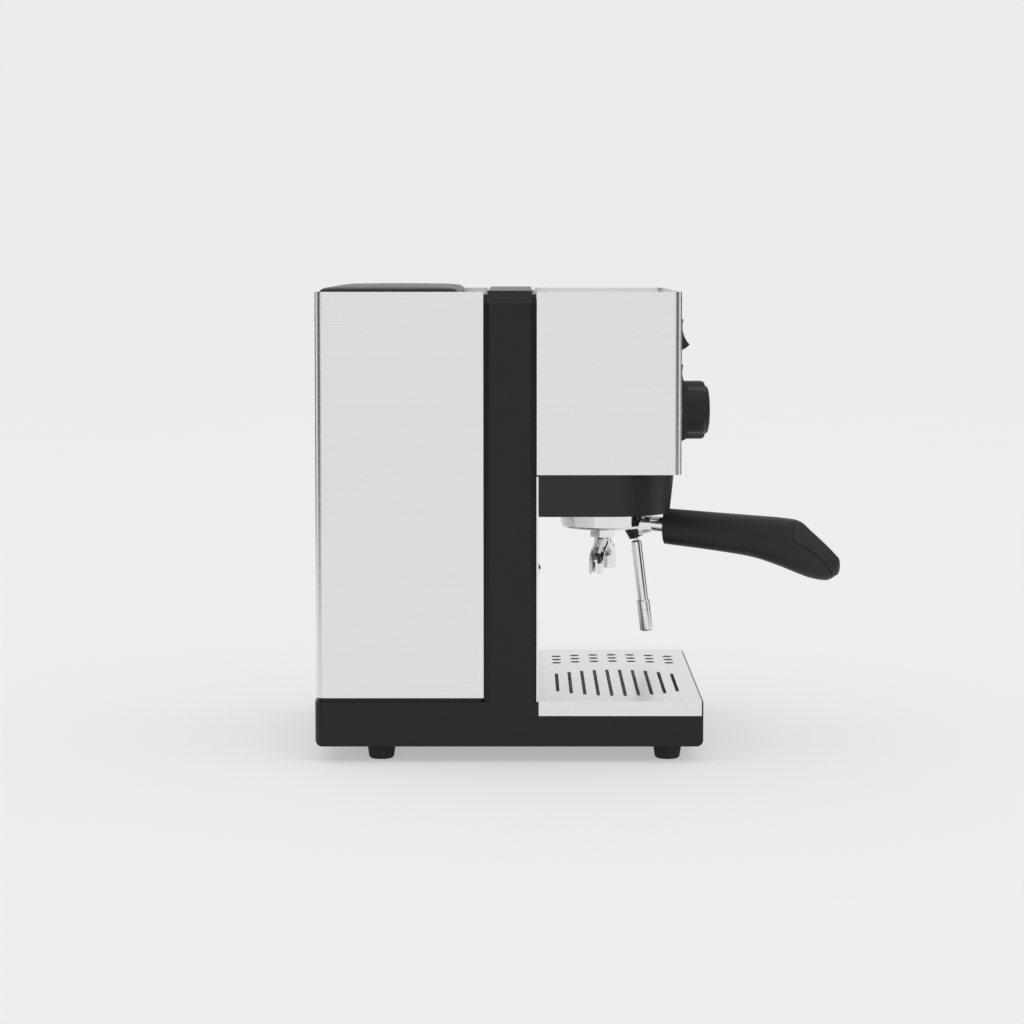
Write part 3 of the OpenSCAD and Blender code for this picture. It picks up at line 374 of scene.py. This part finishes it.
def make_handle():
    grip_rings = [handle_ring(a) for a in steps(HANDLE_STATIONS[0][0], SEAM_START - SEAM_GAP, 48)]
    rest_rings = []
    for ahead in steps(SEAM_START, SEAM_END, 36):
        seam = level_at(SEAM, ahead)[1]
        _, z, tall, _ = level_at(HANDLE_STATIONS, ahead - SEAM_GAP / 2)
        # The grip ends where the seam comes down to its underside
        if seam - SEAM_GAP > z - tall + LEAST_GRIP:
            grip_rings.append(handle_ring(ahead - SEAM_GAP / 2, ceiling=seam - SEAM_GAP))
        rest_rings.append(handle_ring(ahead, floor=seam))
    rest_rings += [handle_ring(a) for a in steps(SEAM_END + SEAM_GAP, HANDLE_CLOSING, 3)]
    # The tip closes in a half round
    _, z, tall, wide = level_at(HANDLE_STATIONS, HANDLE_CLOSING)
    for a in steps(10, 86, 8):
        share, out = math.cos(math.radians(a)), math.sin(math.radians(a))
        ahead = HANDLE_CLOSING + (HANDLE_TIP - HANDLE_CLOSING) * out
        ring = []
        for j in range(HANDLE_CORNERS):
            angle = 2 * math.pi * j / HANDLE_CORNERS
            ring.append(on_group(wide * share * math.cos(angle), ahead, z + tall * share * math.sin(angle)))
        rest_rings.append(ring)
    make_piece("grip", *skin(grip_rings), "handle", "portafilter", "portafilter_handle", "black_plastic", 40)
    make_piece("thumb_rest", *skin(rest_rings), "insert", "portafilter", "handle_insert", "knob_plastic", 40)


KNOB_CORNERS = 180
KNOB_FLUTES = 6
# How deep a flute is, as a share of the knob's radius
FLUTE_DEPTH = 0.075
# Least share of the radius, so that no ring of the knob closes to a point
LEAST_SHARE = 0.01


def make_knob():
    lo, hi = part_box("steam_knob")
    centre = (lo + hi) / 2
    depth = hi.y - lo.y
    radius = (hi.z - lo.z) / 2
    # Share of the radius, share of the depth from the back, and how much of the flutes shows there
    profile = (
        (0.0, 0.0, 0), (0.93, 0.0, 0), (0.975, 0.01, 0), (1.0, 0.045, 0.1), (1.0, 0.12, 0.5), (1.0, 0.2, 1),
        (1.0, 0.5, 1), (1.0, 0.72, 1), (0.995, 0.78, 1), (0.975, 0.825, 1), (0.93, 0.855, 0.9),
        (0.87, 0.865, 0.6), (0.835, 0.868, 0.2), (0.822, 0.872, 0), (0.818, 0.895, 0), (0.80, 0.925, 0),
        (0.74, 0.95, 0), (0.55, 0.978, 0), (0.3, 0.993, 0), (0.1, 1.0, 0), (0.01, 1.0, 0),
    )
    rings = []
    for share, out, flute in profile:
        ring = []
        for j in range(KNOB_CORNERS):
            a = 2 * math.pi * j / KNOB_CORNERS
            scoop = 1 - FLUTE_DEPTH * flute * max(0, math.cos(KNOB_FLUTES * a)) ** 1.4
            r = max(share, LEAST_SHARE) * radius * scoop
            ring.append((centre.x + r * math.cos(a), hi.y - out * depth, centre.z + r * math.sin(a)))
        rings.append(ring)
    make_piece("knob", *skin(rings), "handle", "knob", "steam_knob", "knob_plastic", smooth=50)


def rounded_outline(half, front, back, corner, bow):
    """A rounded rectangle in millimetres whose front edge bows forward by bow in the middle."""
    points = []
    for cx, cy, start in (
        (half - corner, back - corner, 0), (corner - half, back - corner, 90),
        (corner - half, front + bow + corner, 180), (half - corner, front + bow + corner, 270),
    ):
        for k in range(11):
            a = math.radians(start + 9 * k)
            points.append((cx + corner * math.cos(a), cy + corner * math.sin(a)))
        if start == 180:
            span = half - corner
            for k in range(1, 24):
                x = -span + 2 * span * k / 24
                points.append((x, front + bow - bow * (1 - (x / span) ** 2)))
    return points


# Corner radius of the lid, the least it shrinks to, and how far its front edge bows, in millimetres
LID_CORNER = 12
LID_LEAST_CORNER = 4
LID_BOW = 1.8


def lid_ring(half, front, back, inset, height):
    """One level of the lid, drawn in by inset, in metres."""
    corner = max(LID_CORNER - inset, LID_LEAST_CORNER)
    outline = rounded_outline(half - inset, front + inset, back - inset, corner, LID_BOW)
    return [Vector((x, y, height)) * MM for x, y in outline]


def make_lid():
    lo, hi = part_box("tank_lid")
    half, front, back = (v / MM for v in ((hi.x - lo.x) / 2, lo.y, hi.y))
    low, top = lo.z / MM, hi.z / MM
    # How far each level is drawn in, and its height as a share of the lid's
    levels = (
        (2.6, 0.02), (0.5, 0.0), (0, 0.06), (0, 0.62), (0.5, 0.72), (1.7, 0.80), (3.6, 0.87), (12, 0.95),
        (34, 1.0),
    )
    rings = [lid_ring(half, front, back, inset, low + share * (top - low)) for inset, share in levels]
    make_piece("lid", *skin(rings), "plastic", "lid", "tank_lid", "black_plastic", smooth=50)


# ---- Studio ----

def stage_plane(name, corners, material):
    """A flat surface of the studio, which is not part of the machine."""
    mesh = bpy.data.meshes.new(name)
    mesh.from_pydata(corners, [], [(0, 1, 2, 3)])
    plane = bpy.data.objects.new(name, mesh)
    mesh.materials.append(material)
    bpy.context.collection.objects.link(plane)
    return plane


# Linear tone of the pale studio
STUDIO_TONE = 0.838
# The floor's half width, and the dark cards' distance from the machine, low edge and high edge, in metres
FLOOR_REACH = 60
CARD_REACH = 1.2
CARD_LOW, CARD_HIGH = 0.02, 1.1
# The directions each card reaches over, in degrees from the machine's left towards its front
CARD_SPANS = ((34, 74), (106, 146), (214, 254), (286, 326))
# Name, place, size in metres and power in watts
LAMPS = (("key", (-1.6, -1.0, 2.2), 2.0, 2.5), ("top", (0.3, 0.2, 2.6), 2.5, 2))


def make_floor():
    # Half of the floor's tone is its own light, so the shadows on it stay soft and pale
    glow = STUDIO_TONE / 2
    floor_look = Shader("floor", Roughness=0.9, Specular_IOR_Level=0.0, Emission_Strength=1.0)
    floor_look.surface.inputs["Emission Color"].default_value = (glow, glow, glow, 1)
    floor_look.tint(floor_look.noise(3), *shades((0.5, 0.5, 0.5), 0.004))
    far = FLOOR_REACH
    corners = [(-far, -far, 0), (far, -far, 0), (far, far, 0), (-far, far, 0)]
    stage_plane("floor", corners, floor_look.material)


def make_cards():
    """Dark cards round the machine, seen only in its reflections.

    They stand off the main directions, so the bends of the steel pick them up and its flat panels stay pale.
    """
    card_look = Shader("card", Roughness=1.0)
    card_look.tint(card_look.noise(3), *shades((0.03, 0.03, 0.03), 0.1))
    for k, span in enumerate(CARD_SPANS):
        near, away = [
            (-CARD_REACH * math.cos(math.radians(a)), -CARD_REACH * math.sin(math.radians(a))) for a in span
        ]
        corners = [(*near, CARD_LOW), (*away, CARD_LOW), (*away, CARD_HIGH), (*near, CARD_HIGH)]
        card = stage_plane(f"card_{k}", corners, card_look.material)
        card.visible_camera = False
        card.visible_diffuse = False
        card.visible_shadow = False


def make_light():
    world = bpy.data.worlds.new("studio")
    bpy.context.scene.world = world
    world.use_nodes = True
    backdrop = world.node_tree.nodes["Background"]
    backdrop.inputs["Color"].default_value = (STUDIO_TONE, STUDIO_TONE, STUDIO_TONE, 1)
    backdrop.inputs["Strength"].default_value = 1.0
    for name, place, size, watts in LAMPS:
        lamp = bpy.data.lights.new(name, "AREA")
        lamp.size = size
        lamp.energy = watts
        holder = bpy.data.objects.new(name, lamp)
        holder.location = place
        aim = Vector((0, 0, 0.15)) - Vector(place)
        holder.rotation_euler = aim.to_track_quat("-Z", "Y").to_euler()
        bpy.context.collection.objects.link(holder)
    bpy.context.scene.view_settings.view_transform = "Standard"


make_camera()
dress_nodes()
round_edges()
make_handle()
make_knob()
make_lid()
make_floor()
make_cards()
make_light()
